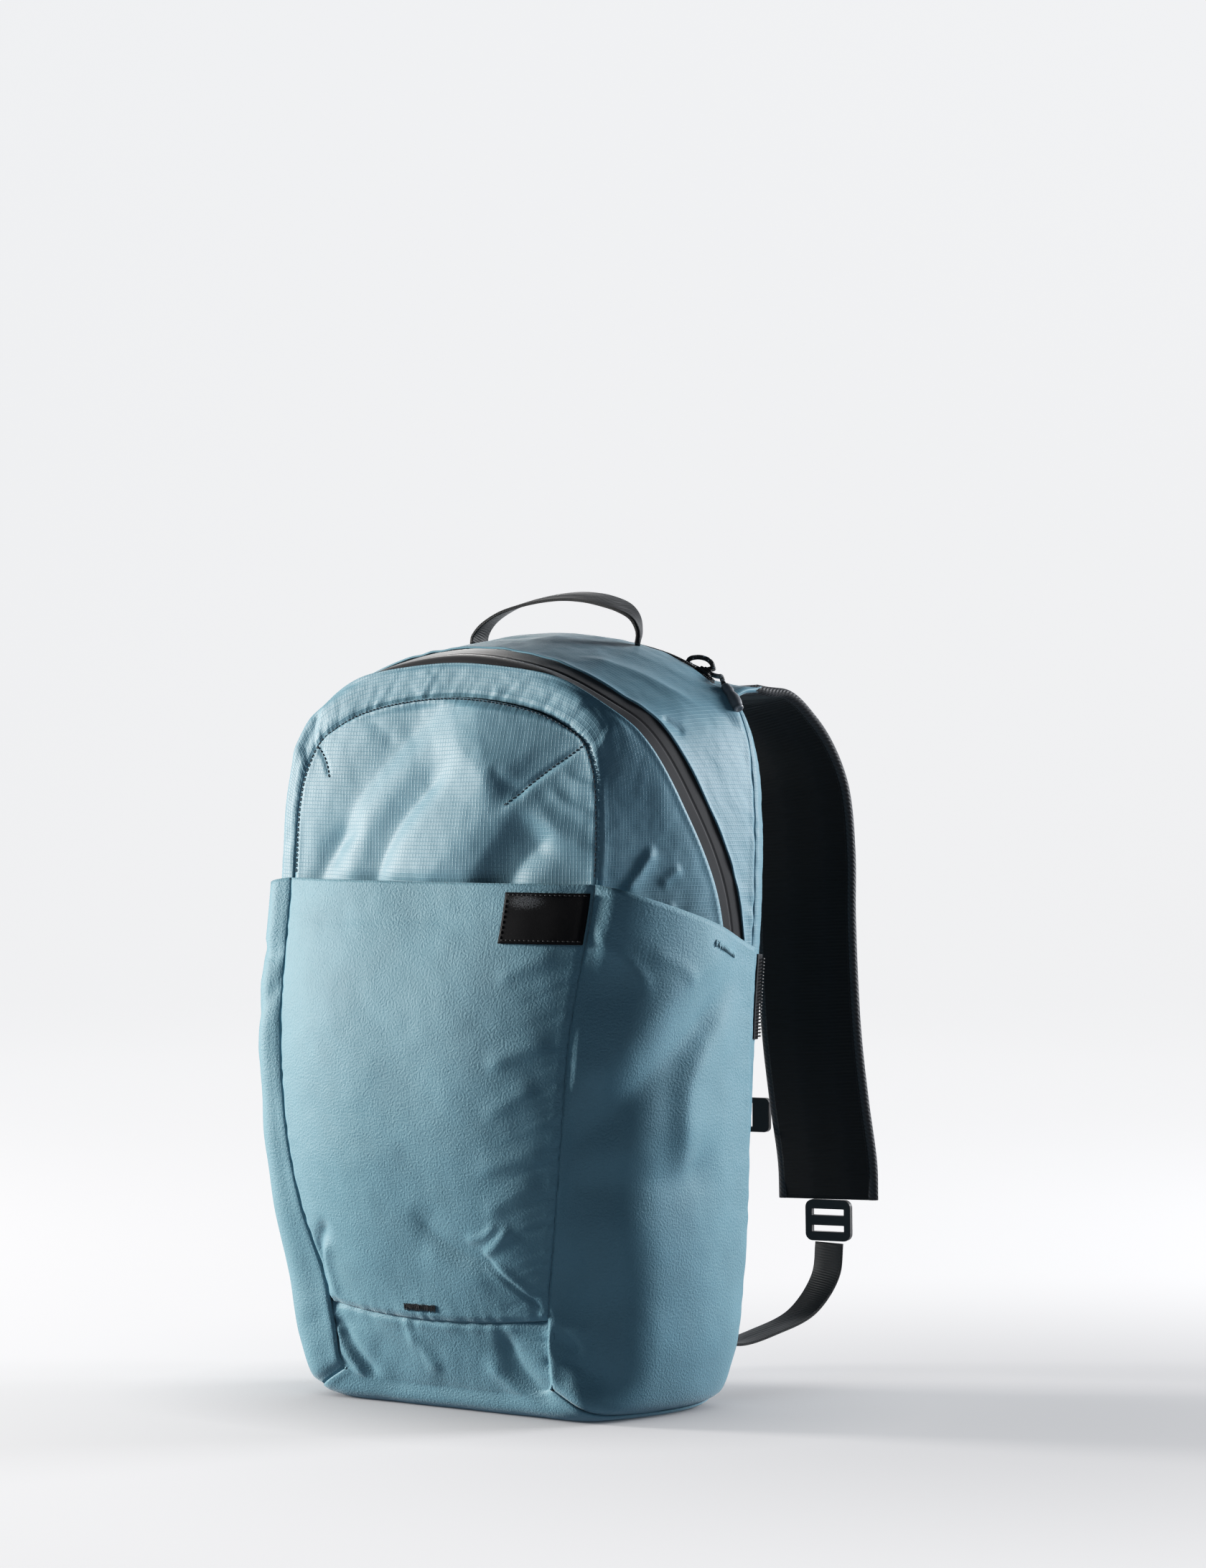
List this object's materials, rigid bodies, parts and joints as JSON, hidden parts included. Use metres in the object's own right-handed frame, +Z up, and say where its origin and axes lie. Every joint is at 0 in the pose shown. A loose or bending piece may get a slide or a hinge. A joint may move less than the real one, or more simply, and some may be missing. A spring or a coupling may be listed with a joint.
{
  "type": "daypack",
  "caption": "Packable daypack with an arched main zip, a front pocket, slanted side pockets, a haul handle and two shoulder straps.",
  "frame": {"origin": "on the floor, at the middle of the area the whole pack covers, straps included", "axes": "+Z up, -Y towards the front pocket, +Y towards the wearer's back and the straps, +X to the pack's right seen from the front"},
  "size_m": [0.2856, 0.2808, 0.459],
  "materials": {
    "ripstop": "dusty blue ripstop nylon with a soft sheen",
    "softshell": "dusty blue stretch softshell, matt",
    "zip_tape": "black coated zip tape, satin",
    "webbing": "black polyester webbing",
    "strap_mesh": "black spacer mesh",
    "plastic": "black moulded acetal, satin",
    "cord": "black braided cord with white flecks",
    "label": "black woven label, bare"
  },
  "bodies": {
    "root": {"front_panel": "ripstop", "front_gusset": "ripstop", "rear_gusset": "ripstop", "rear_band": "ripstop", "back_panel": "ripstop", "side_panel_left": "ripstop", "side_panel_right": "ripstop", "yoke_left": "ripstop", "yoke_right": "ripstop", "front_pocket": "softshell", "base_panel": "softshell", "side_pocket_left": "softshell", "side_pocket_right": "softshell", "main_zip": "zip_tape", "rear_zip": "zip_tape", "side_zip_left": "zip_tape", "side_zip_right": "zip_tape", "haul_handle": "webbing", "strap_webbing_left": "webbing", "strap_webbing_right": "webbing", "sternum_webbing_left": "webbing", "sternum_webbing_right": "webbing", "shoulder_strap_left": "strap_mesh", "shoulder_strap_right": "strap_mesh", "strap_lock_left": "plastic", "strap_lock_right": "plastic", "sternum_slider_left": "plastic", "sternum_slider_right": "plastic", "sternum_buckle": "plastic", "zip_slider": "plastic", "pull_end": "plastic", "pull_cord": "cord", "label": "label"}
  },
  "joints": []
}
